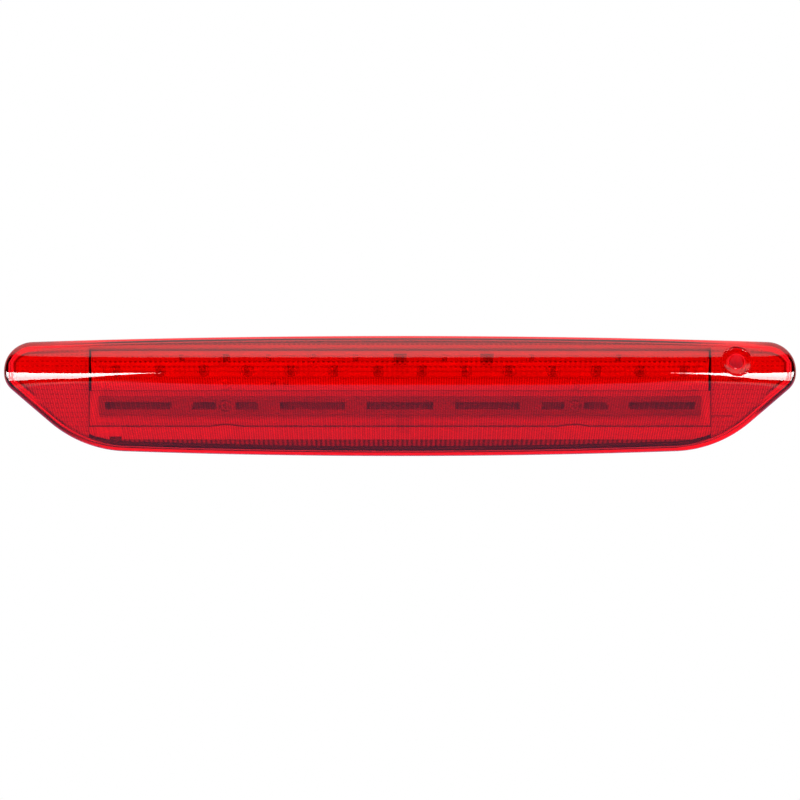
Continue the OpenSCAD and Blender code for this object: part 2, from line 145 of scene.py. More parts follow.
eye = room.node("ShaderNodeLightPath")
room.node("ShaderNodeOutputWorld", {}, {
    "Surface": room.node("ShaderNodeMixShader", {}, {0: eye, 1: lit, 2: seen})})


def area_light(name, place, size, power):
    lamp = bpy.data.lights.new(name, "AREA")
    lamp.shape = "RECTANGLE"
    lamp.size, lamp.size_y = size
    lamp.energy = power
    holder = bpy.data.objects.new(name, lamp)
    bpy.context.scene.collection.objects.link(holder)
    holder.location = place
    holder.rotation_euler = (-Vector(place)).to_track_quat("-Z", "Y").to_euler()
    holder.visible_glossy = False
    holder.visible_transmission = False


area_light("front_fill", (0, -1.8, 0.5), (1.6, 1.0), 23)
area_light("top_fill", (0, -0.5, 1.4), (1.6, 0.8), 10)
area_light("rear_fill", (-0.7, 1.5, 0.9), (1.0, 0.7), 14)


def new_material(name):
    material = bpy.data.materials.new(name)
    material.use_nodes = True
    material.node_tree.nodes.clear()
    return material, Wire(material.node_tree)


def surface(w, shader, **sockets):
    """Ends a material: one shader with its sockets, into the output."""
    made = w.node(shader, {}, {key.replace("_", " "): value for key, value in sockets.items()})
    w.node("ShaderNodeOutputMaterial", {}, {"Surface": made})


def place_in_mm(w):
    """The piece's own X, Y and Z in millimetres."""
    place = w.node("ShaderNodeTexCoord", out=3)
    return [w.node("ShaderNodeSeparateXYZ", {}, {0: place}, axis) / MM for axis in range(3)]


def mottled(w, scale, detail=2.0, low=0.3):
    """Soft patches from 0 to 1 in the piece's own coordinates."""
    place = w.node("ShaderNodeTexCoord", out=3)
    noise = w.node("ShaderNodeTexNoise", {}, {"Vector": place, "Scale": scale, "Detail": detail})
    return noise.step(low, 1 - low)


def show(name, bm, material):
    mesh = bpy.data.meshes.new(name)
    bm.to_mesh(mesh)
    bm.free()
    mesh.materials.append(material)
    shown = bpy.data.objects.new(name, mesh)
    bpy.context.scene.collection.objects.link(shown)
    return shown


floor_material, w = new_material("pale_floor")
tone = mottled(w, 3.0, 3.0)
surface(w, "ShaderNodeBsdfPrincipled", Roughness=0.6,
        Base_Color=tone.mix((0.80, 0.81, 0.83, 1), (0.84, 0.85, 0.87, 1)))
bm = bmesh.new()
bmesh.ops.create_grid(bm, x_segments=8, y_segments=8, size=1)
bmesh.ops.translate(bm, vec=(0, 0, -0.3), verts=bm.verts)
floor = show("floor", bm, floor_material)
floor.visible_glossy = False

# Two curved cards in front, whose lower edge comes up to a point towards the middle
card_material, w = new_material("white_card")
card_z = w.node("ShaderNodeSeparateXYZ", {}, {0: w.node("ShaderNodeTexCoord", out=3)}, 2)
surface(w, "ShaderNodeEmission", Strength=28.0,
        Color=card_z.step(-0.8, 0.3).mix((0.64, 0.62, 0.62, 1), (1, 0.96, 0.97, 1)))
CARD_AWAY = 12
CARD_TOP, CARD_LOW = (2.6, 1.8), -5.2
CARD_FAR = 65
for name, side, near, full in (("left_card", -1, 7.8, 17.5), ("right_card", 1, 10.4, 25.0)):
    bm = bmesh.new()
    bmesh.ops.create_grid(bm, x_segments=36, y_segments=4, size=1)
    for v in bm.verts:
        azimuth = near + (CARD_FAR - near) * ((v.co.x + 1) / 2) ** 1.5
        along = min(1, (azimuth - near) / (full - near))
        high = CARD_TOP[0] + (CARD_TOP[1] - CARD_TOP[0]) * along
        low = high + (CARD_LOW - high) * max(0.02, along ** 1.15)
        elevation = math.radians(low + (high - low) * (v.co.y + 1) / 2)
        turn = math.radians(azimuth)
        v.co = CARD_AWAY * Vector((side * math.sin(turn), -math.cos(turn), math.tan(elevation)))
    card = show(name, bm, card_material)
    card.visible_camera = False
    card.visible_diffuse = False
    card.visible_transmission = False
    card.visible_shadow = False

# ---------------------------------------------------------------------------
# Housing
# The carrier of the lamp: a flange with a weld rib, a pod behind it and screw posts, moulded in
# one piece in black ABS. Its outside has a fine moulded grain.
# ---------------------------------------------------------------------------
def softened(node, offset, segments=2):
    """A merged copy of a CAD node's mesh whose sharp edges are rounded."""
    bm = bmesh.new()
    bm.from_mesh(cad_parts[node].data)
    bmesh.ops.remove_doubles(bm, verts=bm.verts, dist=0.001 * MM)
    bmesh.ops.dissolve_limit(bm, angle_limit=math.radians(1), verts=bm.verts, edges=bm.edges)
    sharp = [e for e in bm.edges if len(e.link_faces) == 2 and e.calc_face_angle() > math.radians(35)]
    bmesh.ops.bevel(bm, geom=sharp, offset=offset * MM, offset_type="OFFSET", segments=segments,
                    profile=0.5, affect="EDGES", clamp_overlap=True, material=-1)
    return bm


def add_piece(name, bm, material, slot, *nodes, smooth=35):
    """Makes the piece. It rides on the lamp and stands for its CAD nodes."""
    for face in bm.faces:
        face.smooth = True
    piece = show(name, bm, material)
    piece.data.set_sharp_from_angle(angle=math.radians(smooth))
    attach(piece, "root")
    if nodes:
        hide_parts(*nodes)
    return piece


def moulded_plastic(name, colour, grain=0.12, scale=1400.0, roughness=0.5):
    """Plastic with a fine grain and slight changes of tone and gloss."""
    material, w = new_material(name)
    place = w.node("ShaderNodeTexCoord", out=3)
    fine = w.node("ShaderNodeTexNoise", {}, {"Vector": place, "Scale": scale, "Detail": 4.0})
    broad = mottled(w, 45.0, 5.0)
    bump = w.node("ShaderNodeBump", {}, {"Strength": grain, "Distance": 0.0001, "Height": fine})
    darker = tuple(channel * 0.78 for channel in colour)
    surface(w, "ShaderNodeBsdfPrincipled", Base_Color=broad.mix((*colour, 1), (*darker, 1)),
            Roughness=roughness + 0.1 * broad, Normal=bump)
    return material


black_abs = moulded_plastic("black_abs", (0.022, 0.022, 0.025), grain=0.35)
add_piece("housing_body", softened("housing", 0.35), black_abs, "black_housing", "housing")

# ---------------------------------------------------------------------------
# Mounting studs
# Two M5 studs in zinc-plated steel. Their heads are moulded into the flange, a plain collar
# passes the rubber ring, and the rolled thread stands out behind.
# ---------------------------------------------------------------------------
STUD_PITCH = 0.8
THREAD_R = 2.5
ROOT_R = 2.05
COLLAR_R = 2.9
HEAD_R = 5.5
plated_steel, w = new_material("plated_steel")
film = mottled(w, 220.0, 5.0)
surface(w, "ShaderNodeBsdfPrincipled", Metallic=1.0, Roughness=0.28 + 0.16 * film,
        Base_Color=film.mix((0.72, 0.71, 0.66, 1), (0.60, 0.62, 0.66, 1)))

stud_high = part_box("mounting_studs")[1]
STUD_X = stud_high.x / MM - HEAD_R
STUD_TIP = stud_high.y / MM


def turn_profile(bm, profile, steps):
    """Turns a profile of radii and places along Y, in millimetres, into a closed solid."""
    turned = [bm.verts.new((radius, y, 0)) for radius, y in profile]
    edges = [bm.edges.new(pair) for pair in zip(turned, turned[1:])]
    bmesh.ops.spin(bm, geom=turned + edges, cent=(0, 0, 0), axis=(0, 1, 0), steps=steps,
                   angle=2 * math.pi, use_merge=True)


bm = bmesh.new()
for side in (-1, 1):
    started = set(bm.verts)
    # one tooth's profile, carried up the helix
    tooth = [bm.verts.new((radius, y, 0)) for radius, y in (
        (ROOT_R, 0.4), (ROOT_R, 0.5), (THREAD_R, 0.8), (THREAD_R, 0.9), (ROOT_R, 1.2))]
    edges = [bm.edges.new(pair) for pair in zip(tooth, tooth[1:])]
    turns = int((STUD_TIP - 1.9) / STUD_PITCH)
    bmesh.ops.spin(bm, geom=tooth + edges, cent=(0, 0, 0), axis=(0, 1, 0), steps=28 * turns,
                   angle=2 * math.pi * turns, dvec=(0, STUD_PITCH / 28, 0), use_merge=False)
    # core, chamfered tip, collar and head, turned as one shape
    turn_profile(bm, [
        (0, STUD_TIP), (1.5, STUD_TIP), (2.1, STUD_TIP - 0.6), (2.1, 0.3), (COLLAR_R, 0), (COLLAR_R, -3),
        (HEAD_R - 0.2, -3), (HEAD_R, -3.2), (HEAD_R, -4.8), (HEAD_R - 0.2, -5), (0, -5)], 32)
    made = [v for v in bm.verts if v not in started]
    bmesh.ops.scale(bm, vec=(MM, MM, MM), verts=made)
    bmesh.ops.translate(bm, vec=(side * STUD_X * MM, 0, 0), verts=made)
bmesh.ops.remove_doubles(bm, verts=bm.verts, dist=0.002 * MM)
bmesh.ops.recalc_face_normals(bm, faces=bm.faces)
add_piece("stud_pair", bm, plated_steel, "plated_steel", "mounting_studs", smooth=50)

# ---------------------------------------------------------------------------
# LED board and what is soldered to it
# A white lacquered board with fourteen LEDs in a row, and above them the resistors, the diode,
# two current drivers and a capacitor. Four cross-head screws hold it to the posts.
# ---------------------------------------------------------------------------
LED_COUNT = 14
led_low, led_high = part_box("leds")
LED_Z = (led_low.z + led_high.z) / 2 / MM
LED_PITCH = (led_high.x - led_low.x - 3.4 * MM) / (LED_COUNT - 1) / MM
LED_X = [(i - (LED_COUNT - 1) / 2) * LED_PITCH for i in range(LED_COUNT)]
BOARD_FRONT = -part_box("led_board")[0].y / MM


def rounded_box(bm, middle, size, round_edge=0.2):
    """Adds a box, in millimetres, whose edges are rounded."""
    made = bmesh.ops.create_cube(bm, size=1)["verts"]
    bmesh.ops.scale(bm, vec=[side * MM for side in size], verts=made)
    bmesh.ops.translate(bm, vec=[part * MM for part in middle], verts=made)
    edges = {e for v in made for e in v.link_edges}
    bmesh.ops.bevel(bm, geom=list(edges), offset=round_edge * MM, offset_type="OFFSET", segments=2,
                    profile=0.5, affect="EDGES", clamp_overlap=True, material=-1)


board_lacquer, w = new_material("board_lacquer")
z = place_in_mm(w)[2]
tracks = z.band(LED_Z - 1.4, LED_Z + 1.4, 0.1) + z.band(LED_Z + 4.6, LED_Z + 6.4, 0.1)
mottle = mottled(w, 160.0, 4.0)
bump = w.node("ShaderNodeBump", {}, {"Strength": 0.5, "Distance": 0.0001, "Height": tracks})
surface(w, "ShaderNodeBsdfPrincipled", Roughness=0.35 + 0.1 * mottle, Normal=bump,
        Base_Color=(tracks * 0.6 + mottle * 0.4).mix((0.90, 0.90, 0.88, 1), (0.74, 0.75, 0.72, 1)))
add_piece("board_plate", softened("led_board", 0.12), board_lacquer, "white_board", "led_board")

# LEDs: a pale body with an opaque, dark tan dome with a dull surface, and a pad at each side
led_body, w = new_material("led_body")
y = place_in_mm(w)[1]
dome_part = 1 - y.step(-(BOARD_FRONT + 1.75), -(BOARD_FRONT + 1.65))
speck = mottled(w, 900.0, low=0.35)
surface(w, "ShaderNodeBsdfPrincipled", Roughness=0.3, Base_Color=dome_part.mix(
    speck.mix((0.95, 0.94, 0.92, 1), (0.88, 0.87, 0.85, 1)), (0.42, 0.39, 0.30, 1)))
bm = bmesh.new()
for x in LED_X:
    rounded_box(bm, (x, -BOARD_FRONT - 0.9, LED_Z), (3.4, 1.8, 3.4), 0.2)
    dome = bmesh.ops.create_uvsphere(bm, u_segments=16, v_segments=8, radius=1.1 * MM)["verts"]
    bmesh.ops.scale(bm, vec=(1, 1, 0.7), verts=dome)
    bmesh.ops.translate(bm, vec=(x * MM, -(BOARD_FRONT + 1.8) * MM, (LED_Z + 0.3) * MM), verts=dome)
    for pad in (-1, 1):
        rounded_box(bm, (x + pad * 1.9, -BOARD_FRONT - 0.15, LED_Z), (0.9, 0.3, 2.2), 0.1)
add_piece("led_row", bm, led_body, "led_body", "leds")

# Small parts with soldered end caps
chip, w = new_material("chip_part")
speck = mottled(w, 700.0, low=0.35)
surface(w, "ShaderNodeBsdfPrincipled", Roughness=0.45,
        Base_Color=speck.mix((0.20, 0.20, 0.21, 1), (0.28, 0.28, 0.29, 1)))
solder, w = new_material("solder")
speck = mottled(w, 500.0, low=0.35)
surface(w, "ShaderNodeBsdfPrincipled", Metallic=1.0, Roughness=0.3 + 0.15 * speck,
        Base_Color=speck.mix((0.72, 0.73, 0.75, 1), (0.62, 0.63, 0.65, 1)))
PART_Z = LED_Z + 5.5
resistor_x = [LED_X[i] + LED_PITCH / 2 for i in range(1, LED_COUNT - 1, 2)]
driver_x = [LED_X[i] + LED_PITCH / 2 for i in (6, LED_COUNT - 6)]
diode_x = LED_X[2] + LED_PITCH / 2
capacitor_x = LED_X[4] + LED_PITCH / 2
for name, node, places, size, legs in (
        ("resistor_chips", "led_resistors", resistor_x, (3.2, 0.6, 1.6), 0),
        ("diode_block", "protection_diode", [diode_x], (4.3, 2.0, 2.6), 0),
        ("driver_chips", "current_drivers", driver_x, (6.5, 1.7, 3.5), 4)):
    bm = bmesh.new()
    ends = bmesh.new()
    for x in places:
        rounded_box(bm, (x, -BOARD_FRONT - size[1] / 2, PART_Z), (size[0] - 0.8, size[1], size[2]), 0.15)
        for side in (-1, 1):
            rounded_box(ends, (x + side * (size[0] / 2 - 0.25), -BOARD_FRONT - size[1] / 4, PART_Z),
                        (0.5, size[1] / 2, size[2] * 0.8), 0.1)
        for leg in range(legs):
            rounded_box(ends, (x + (leg - 1.5) * 1.27, -BOARD_FRONT - 0.3, PART_Z - size[2] / 2 + 0.1),
                        (0.4, 0.5, 0.5), 0.08)
    add_piece(name, bm, chip, "chip_part", node)
    add_piece(name + "_solder", ends, solder, "chip_part")

# Capacitor: a can on a square base of the same metal
can, w = new_material("capacitor_can")
brushed = mottled(w, 600.0, 3.0, low=0.35)
surface(w, "ShaderNodeBsdfPrincipled", Metallic=1.0, Roughness=0.25 + 0.1 * brushed,
        Base_Color=brushed.mix((0.75, 0.76, 0.78, 1), (0.68, 0.69, 0.71, 1)))
bm = bmesh.new()
turn_profile(bm, [(0, -2.6), (1.3, -2.6), (1.6, -2.3), (1.6, -1.1), (1.45, -1.0), (1.6, -0.9),
                  (1.6, 0), (0, 0)], 28)
bmesh.ops.scale(bm, vec=(MM, MM, MM), verts=bm.verts)
bmesh.ops.translate(bm, vec=(capacitor_x * MM, -BOARD_FRONT * MM, PART_Z * MM), verts=bm.verts)
rounded_box(bm, (capacitor_x, -BOARD_FRONT - 0.2, PART_Z), (3.6, 0.4, 3.6), 0.1)
bmesh.ops.remove_doubles(bm, verts=bm.verts, dist=0.002 * MM)
bmesh.ops.recalc_face_normals(bm, faces=bm.faces)
add_piece("capacitor", bm, can, "capacitor_can", "smoothing_capacitor")

pale_zinc, w = new_material("pale_zinc")
film = mottled(w, 300.0, 4.0)
surface(w, "ShaderNodeBsdfPrincipled", Metallic=0.35, Roughness=0.5 + 0.1 * film,
        Base_Color=film.mix((0.70, 0.70, 0.70, 1), (0.60, 0.60, 0.61, 1)))
add_piece("board_screw_set", softened("board_screws", 0.12), pale_zinc, "plated_steel", "board_screws")

# ---------------------------------------------------------------------------
# Reflectors
# Four mouldings in white, satin-metallised plastic around the board: one with a step below it,
# one with three steps above it, and one plate at each end. Fine ribbing scatters the light, and painted
# shade darkens the lower one behind the rail and at its step, and the upper one at the foot of each step.
# ---------------------------------------------------------------------------
lens_low, lens_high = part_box("outer_lens")
HALF = lens_high.x / MM
TOP = lens_high.z / MM
UPPER_BEND = TOP - 10.5
LOWER_BEND = TOP - 24.5
FAN_DEPTH = 729.0  # the fan's lines would meet this far below the lamp
RIB = 2.46
POST_X = 87


def satin(name, bright, dark, ribs_and_shade):
    """Satin reflector. Its pattern function of x and z gives where it is dark, from 0 to 1: moulded
    ribbing, and on the lower and upper reflectors painted shade.
    """
    material, w = new_material(name)
    x, _, z = place_in_mm(w)
    mottle = mottled(w, 260.0, 4.0)
    lines = ribs_and_shade(x, z)
    bump = w.node("ShaderNodeBump", {}, {"Strength": 0.4, "Distance": 0.0002, "Height": 1 - lines})
    surface(w, "ShaderNodeBsdfPrincipled", Roughness=0.38 + 0.12 * mottle, Normal=bump,
            Base_Color=(lines * 0.94 + mottle * 0.06).capped().mix((*bright, 1), (*dark, 1)))
    return material


def lower_ribs_and_shade(x, z):
    """Painted shade behind the rail, a painted shadow line along the step, a ribbed row at the bottom,
    fanned lines below the step, a moulded patch at the left and a tab in the middle."""
    fan = x / (1 + z / FAN_DEPTH)
    near_post = 0.9 * (1 - (abs(x) - POST_X).math("ABSOLUTE").step(1, 9))
    # painted shadow: a dark line along the step, raised near the posts
    step_shadow_line = (z - near_post).band(-15.2, -14.4, 0.15)
    # painted shade on the reflector behind the rail
    shade_behind_rail = z.band(-8.6, -0.6, 0.3) * (1 - abs(x).step(148, 149))
    small_ribs = z.band(-25.6, -21.4, 0.2) * (0.7 + 0.3 * fan.wave(RIB))
    patch = x.band(-145, -139, 0.2) * z.band(-21.6, -20, 0.2)
    tab = x.band(-1.5, 5.5, 0.3) * z.band(-18, -9, 0.3) * 0.15
    fanned = fan.wave(RIB).step(0.55, 0.85) * 0.12 + z.band(-21.5, -15.2, 0.2) * 0.12
    return ((step_shadow_line + shade_behind_rail) * 0.8 + small_ribs * 0.95 + fanned + patch + tab).capped()


def upper_step_shade(x, z):
    """Painted shade: a dark line at the foot of each step, the middle one broken into dashes, the top one
    darkening all above it.
    """
    dashes = 0.35 + 0.5 * x.wave(RIB).step(0.3, 0.6)
    dark = z.band(22.5, 23.4, 0.12) * 0.55 + z.band(24.8, 25.5, 0.12) * dashes + z.step(25.5, 25.8) * 0.75
    return dark.capped()


def end_ribs(x, z):
    """Rows of dashes, hatching along the slanted end, and one moulded line."""
    away = abs(x)
    hatch = (away * 0.72 + z * 0.69).wave(1.47).step(0.5, 0.8)
    near_slant = (away * 0.65 - z * 0.76).step(126.5, 127.5)
    dashes = z.wave(2.3).step(0.72, 0.9) * x.wave(RIB).step(0.3, 0.6)
    mark = x.band(154, 166, 0.3) * z.band(-10, -9.4, 0.15) * 0.8
    return (near_slant * hatch * 0.7 + (1 - near_slant) * dashes * 0.4 + mark).capped()


# the upper and end plates get greyer whites than the lower one: painted shade on the same white plastic
lower_satin = satin("lower_reflector_satin", (0.93, 0.93, 0.95), (0.03, 0.03, 0.035), lower_ribs_and_shade)
upper_satin = satin("upper_reflector_satin", (0.64, 0.64, 0.66), (0.08, 0.08, 0.09), upper_step_shade)
end_satin = satin("end_reflector_satin", (0.74, 0.74, 0.76), (0.10, 0.10, 0.11), end_ribs)
add_piece("reflector_below", softened("lower_reflector", 0.25), lower_satin, "reflector", "lower_reflector")
add_piece("reflector_above", softened("upper_reflector", 0.25), upper_satin, "reflector", "upper_reflector")
for side in ("left", "right"):
    add_piece(side + "_end_plate", softened(side + "_end_reflector", 0.2), end_satin, "reflector",
              side + "_end_reflector")

# ---------------------------------------------------------------------------
# Carrier rail
# A dark grey moulded bar with a row of slots. It is screwed to the posts under the lights and
# holds the lower reflector.
# ---------------------------------------------------------------------------
dark_rail = moulded_plastic("rail_grey", (0.34, 0.34, 0.36), grain=0.2, roughness=0.45)
add_piece("rail_bar", softened("carrier_rail", 0.3), dark_rail, "dark_rail", "carrier_rail")
dark_zinc, w = new_material("dark_zinc")
film = mottled(w, 300.0, 4.0)
surface(w, "ShaderNodeBsdfPrincipled", Metallic=0.3, Roughness=0.5 + 0.1 * film,
        Base_Color=film.mix((0.30, 0.30, 0.32, 1), (0.24, 0.24, 0.26, 1)))
add_piece("rail_screw_set", softened("rail_screws", 0.12), dark_zinc, "plated_steel", "rail_screws")

# ---------------------------------------------------------------------------
# Optic strip
# A bar of clear acrylic in front of the LEDs. Rows of small pillows on its face spread the
# light, and a round eye stands behind the face at each LED.
# ---------------------------------------------------------------------------
strip_low, strip_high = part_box("optic_strip")
STRIP_HALF = strip_high.x / MM
STRIP_FRONT = -strip_low.y / MM
STRIP_BACK = STRIP_FRONT - 4.3
STRIP_Z = LED_Z + 1
PILLOW = 2.46


def see_through(w, clear, tint):
    """Ends a clear material. Shadow and diffuse rays pass straight through it with its tint."""
    passed = w.node("ShaderNodeBsdfTransparent", {}, {"Color": tint})
    shadow, diffuse = [w.node("ShaderNodeLightPath", out=kind) for kind in (1, 2)]
    w.node("ShaderNodeOutputMaterial", {}, {"Surface": w.node("ShaderNodeMixShader", {}, {
        0: shadow.math("MAXIMUM", diffuse), 1: clear, 2: passed})})


clear_acrylic, w = new_material("clear_acrylic")
x, _, z = place_in_mm(w)
haze = mottled(w, 90.0, 3.0)
# painted shade on the clear bar: darker seams between the pillows, two rows of dashes and a lower row
pillow_seam_shade = (z.wave(2.5, -13.5).step(0.6, 0.95) + x.wave(PILLOW).step(0.7, 0.98) * 0.6).capped() * 0.2
dashes = (z.band(16.5, 17.2, 0.1) * x.wave(PILLOW).step(0.35, 0.65) * 0.6
          + z.band(14.0, 14.6, 0.1) * x.wave(PILLOW, 0.6).step(0.35, 0.65) * 0.4)
lower_row = z.band(8.6, 9.2, 0.15) * 0.25
tint = (haze * 0.03 + pillow_seam_shade + dashes + lower_row).capped().mix((1, 1, 1, 1), (0.12, 0.12, 0.12, 1))
see_through(w, w.node("ShaderNodeBsdfPrincipled", {}, {
    "Base Color": tint, "Roughness": 0.12, "IOR": 1.49, "Transmission Weight": 1.0}), (1, 1, 1, 1))

bm = bmesh.new()
columns = int(2 * STRIP_HALF / PILLOW) * 6
bmesh.ops.create_grid(bm, x_segments=columns, y_segments=24, size=1)
for v in bm.verts:
    x, z = v.co.x * STRIP_HALF, v.co.y * 5
    near_edge = min(1, (STRIP_HALF - abs(x)) / 0.8, (5 - abs(z)) / 0.6)
    swell = 0.35 * (math.cos(math.pi * x / PILLOW) ** 2) * math.cos(math.pi * z / 2.5) ** 2
    v.co = (x * MM, -(STRIP_FRONT - 0.5 + 0.14 * min(1, near_edge) + swell * max(0, near_edge)) * MM,
            (STRIP_Z + z) * MM)
rim = [e for e in bm.edges if e.is_boundary]
made = bmesh.ops.extrude_edge_only(bm, edges=rim)["geom"]
back_verts = [g for g in made if isinstance(g, bmesh.types.BMVert)]
for v in back_verts:
    v.co.y = -STRIP_BACK * MM
back_edges = [g for g in made if isinstance(g, bmesh.types.BMEdge) and g.is_boundary]
bmesh.ops.contextual_create(bm, geom=back_edges)
bmesh.ops.recalc_face_normals(bm, faces=bm.faces)
add_piece("optic_bar", bm, clear_acrylic, "clear_optic", "optic_strip")

# the eyes behind it, and the frosted foot at each end that stands on the board
bm = bmesh.new()
for x in LED_X:
    eye_lens = bmesh.ops.create_uvsphere(bm, u_segments=24, v_segments=12, radius=3 * MM)["verts"]
    bmesh.ops.scale(bm, vec=(1, 0.18, 1), verts=eye_lens)
    bmesh.ops.translate(bm, vec=(x * MM, -(STRIP_BACK - 0.05) * MM, LED_Z * MM), verts=eye_lens)
bmesh.ops.bisect_plane(bm, geom=list(bm.verts) + list(bm.edges) + list(bm.faces),
                       plane_co=(0, -(STRIP_BACK - 0.06) * MM, 0), plane_no=(0, -1, 0), clear_outer=True)
bmesh.ops.holes_fill(bm, edges=[e for e in bm.edges if e.is_boundary])
add_piece("optic_eyes", bm, clear_acrylic, "clear_optic")
frosted, w = new_material("frosted_acrylic")
grain = mottled(w, 800.0)
surface(w, "ShaderNodeBsdfPrincipled", Roughness=0.5 + 0.2 * grain,
        Base_Color=grain.mix((0.90, 0.90, 0.91, 1), (0.82, 0.82, 0.84, 1)))
bm = bmesh.new()
for side in (-1, 1):
    rounded_box(bm, (side * (STRIP_HALF - 2), -(BOARD_FRONT + STRIP_BACK) / 2, LED_Z),
                (4, STRIP_BACK - BOARD_FRONT, 4), 0.3)
add_piece("optic_feet", bm, frosted, "clear_optic")

# ---------------------------------------------------------------------------
# Outer lens
# One moulding in clear red acrylic, 2.6 mm thick: a sloping band over a rounded nose over a
# sloping face. Its inside carries fine upright flutes that fan out from far below the lamp.
# A tilted seat and a tube for the washer nozzle are moulded into it.
# ---------------------------------------------------------------------------
NOSE = -lens_low.y / MM
FLANGE_FRONT = 6.0
RIM_DEPTH = 8.0
WALL = 2.6
WALL_DEPTH = 2.86
EDGE = 1.8
BEND = 0.3
LOWER_SLOPE = 12.1 / (TOP + LOWER_BEND)
NOSE_Z = UPPER_BEND - 9
TOP_BOW, BOTTOM_BOW = 3.0, 2.4
TOP_END = HALF - 14
BOTTOM_END = HALF - 39 - 21
FLUTE = 1.235


def nose(z):
    held = max(LOWER_BEND, min(UPPER_BEND, z))
    return NOSE - (held - NOSE_Z) ** 2 / 80 - (held - NOSE_Z) / 40 * (z - held)


def depth(x, z):
    """Depth of the lens's outside in front of the vehicle's skin."""
    bands = (nose(UPPER_BEND) + 1.1 * (UPPER_BEND - z), nose(z),
             nose(LOWER_BEND) + LOWER_SLOPE * (z - LOWER_BEND))
    profile = -BEND * math.log(sum(math.exp((bands[1] - band) / BEND) for band in bands)) + bands[1]
    u = min(1, abs(x) / HALF)
    return RIM_DEPTH + (1 - 0.62 * (0.25 * u ** 2 + 0.75 * u ** 6)) * (profile - RIM_DEPTH)


def corner_round(a, b, c, side):
    """Centre and radius of the round that takes the length side of both lines at corner b."""
    u, v = (a - b).normalized(), (c - b).normalized()
    half_angle = math.acos(u.dot(v)) / 2
    radius = side * math.tan(half_angle)
    return b + (u + v).normalized() * radius / math.sin(half_angle), radius


def bowed_edge(x, sign):
    end, bow = (TOP_END, TOP_BOW) if sign > 0 else (BOTTOM_END, BOTTOM_BOW)
    return sign * (TOP - bow * (x / end) ** 2)


top_turn = Vector((TOP_END, bowed_edge(TOP_END, 1)))
low_turn = Vector((BOTTOM_END, bowed_edge(BOTTOM_END, -1)))
tip_top = Vector((HALF, top_turn.y - 2 * TOP_BOW / TOP_END * 14))
tip_low = Vector((HALF, TOP - 23.5))
heel = Vector((HALF - 39, low_turn.y + 2 * BOTTOM_BOW / BOTTOM_END * 21))
top_centre, top_radius = corner_round(top_turn, tip_top, tip_low, 14)
tip_centre, tip_radius = corner_round(tip_top, tip_low, heel, 5)
heel_centre, heel_radius = corner_round(tip_low, heel, low_turn, 21)
slant = (tip_low - heel).normalized()
slant_out = Vector((slant.y, -slant.x))


def arc(centre, radius, x, sign):
    return centre.y + sign * math.sqrt(max(0, radius ** 2 - (x - centre.x) ** 2))


def top_line(x, d):
    """Height of the upper outline, moved in by d."""
    x = min(abs(x), HALF - d)
    if x < top_centre.x + 0.033 * (top_radius - d):
        return bowed_edge(x, 1) - d
    return arc(top_centre, top_radius - d, x, 1)


def bottom_line(x, d):
    """Height of the lower outline, moved in by d."""
    x = min(abs(x), HALF - d)
    slant_start = heel_centre + slant_out * (heel_radius - d)
    slant_end = tip_centre + slant_out * (tip_radius - d)
    if x < heel_centre.x + 0.035 * (heel_radius - d):
        return bowed_edge(x, -1) + d
    if x < slant_start.x:
        return arc(heel_centre, heel_radius - d, x, -1)
    if x < slant_end.x:
        return slant_start.y + (x - slant_start.x) * slant.y / slant.x
    return arc(tip_centre, tip_radius - d, x, -1)


def column_places(pitch, limit, ends):
    """Even places over the middle, and places that crowd together towards the two tips."""
    count = int(150 / pitch)
    middle = [i * pitch for i in range(-count, count + 1)]
    reach = limit - middle[-1]
    tip = [middle[-1] + reach * math.sin(math.pi / 2 * (i + 1) / ends) for i in range(ends)]
    return [-x for x in reversed(tip)] + middle + tip


def row_places(low, high, counts):
    """Heights from the lower to the upper outline that crowd together at the two bends."""
    first = max(LOWER_BEND, low + 0.15 * (high - low))
    second = min(UPPER_BEND, high - 0.15 * (high - low))
    below, between, above = counts
    heights = [low + (first - low) * (1 - (1 - i / below) ** 1.5) for i in range(below)]
    heights += [first + (second - first) * (0.5 - 0.5 * math.cos(math.pi * i / between))
                for i in range(between)]
    return heights + [second + (high - second) * (i / above) ** 1.4 for i in range(above + 1)]


def add_skin(bm, columns, counts, d, thin, edge, relief):
    """Adds one skin of the lens, d inside its outline, with its rounded edge and its side."""
    limit = HALF - d - edge
    rows = sum(counts)
    made = bmesh.ops.create_grid(bm, x_segments=len(columns) - 1, y_segments=rows, size=1)["verts"]
    places = []
    for u in columns:
        lean = u / FAN_DEPTH * max(0, min(1, (limit - abs(u)) / 30))
        low = high = 0
        for _ in range(5):
            low = bottom_line(u + lean * low, d + edge)
            high = top_line(u + lean * high, d + edge)
        places.append([(max(-limit, min(limit, u + lean * z)), z) for z in row_places(low, high, counts)])
    rim = {}
    for v in made:
        i = round((v.co.x + 1) / 2 * (len(columns) - 1))
        j = round((v.co.y + 1) / 2 * rows)
        x, z = places[i][j]
        v.co = (x, thin + relief(columns[i], z) - depth(x, z), z)
        if v.is_boundary:
            low, high = bottom_line(x, d + edge), top_line(x, d + edge)
            rim[v] = (x / limit, 0 if j == 0 else 1 if j == rows else (z - low) / (high - low))
    edges = [e for e in bm.edges if e.is_boundary and e.verts[0] in rim]
    for turn in (67.5, 45, 22.5, 0, None):
        new = set(bmesh.ops.extrude_edge_only(bm, edges=edges)["geom"])
        fresh = {}
        for old, (share, t) in rim.items():
            v = next(e.other_vert(old) for e in old.link_edges if e.other_vert(old) in new)
            fresh[v] = (share, t)
            if turn is None:
                v.co = (old.co.x, -FLANGE_FRONT, old.co.z)
                continue
            inset = d + edge * (1 - math.cos(math.radians(turn)))
            x = share * (HALF - inset)
            low, high = bottom_line(x, inset), top_line(x, inset)
            z = low + (high - low) * t
            v.co = (x, thin + edge * (1 - math.sin(math.radians(turn))) - depth(x, z), z)
        rim = fresh
        edges = [g for g in new if isinstance(g, bmesh.types.BMEdge) and all(v in rim for v in g.verts)]
    return edges


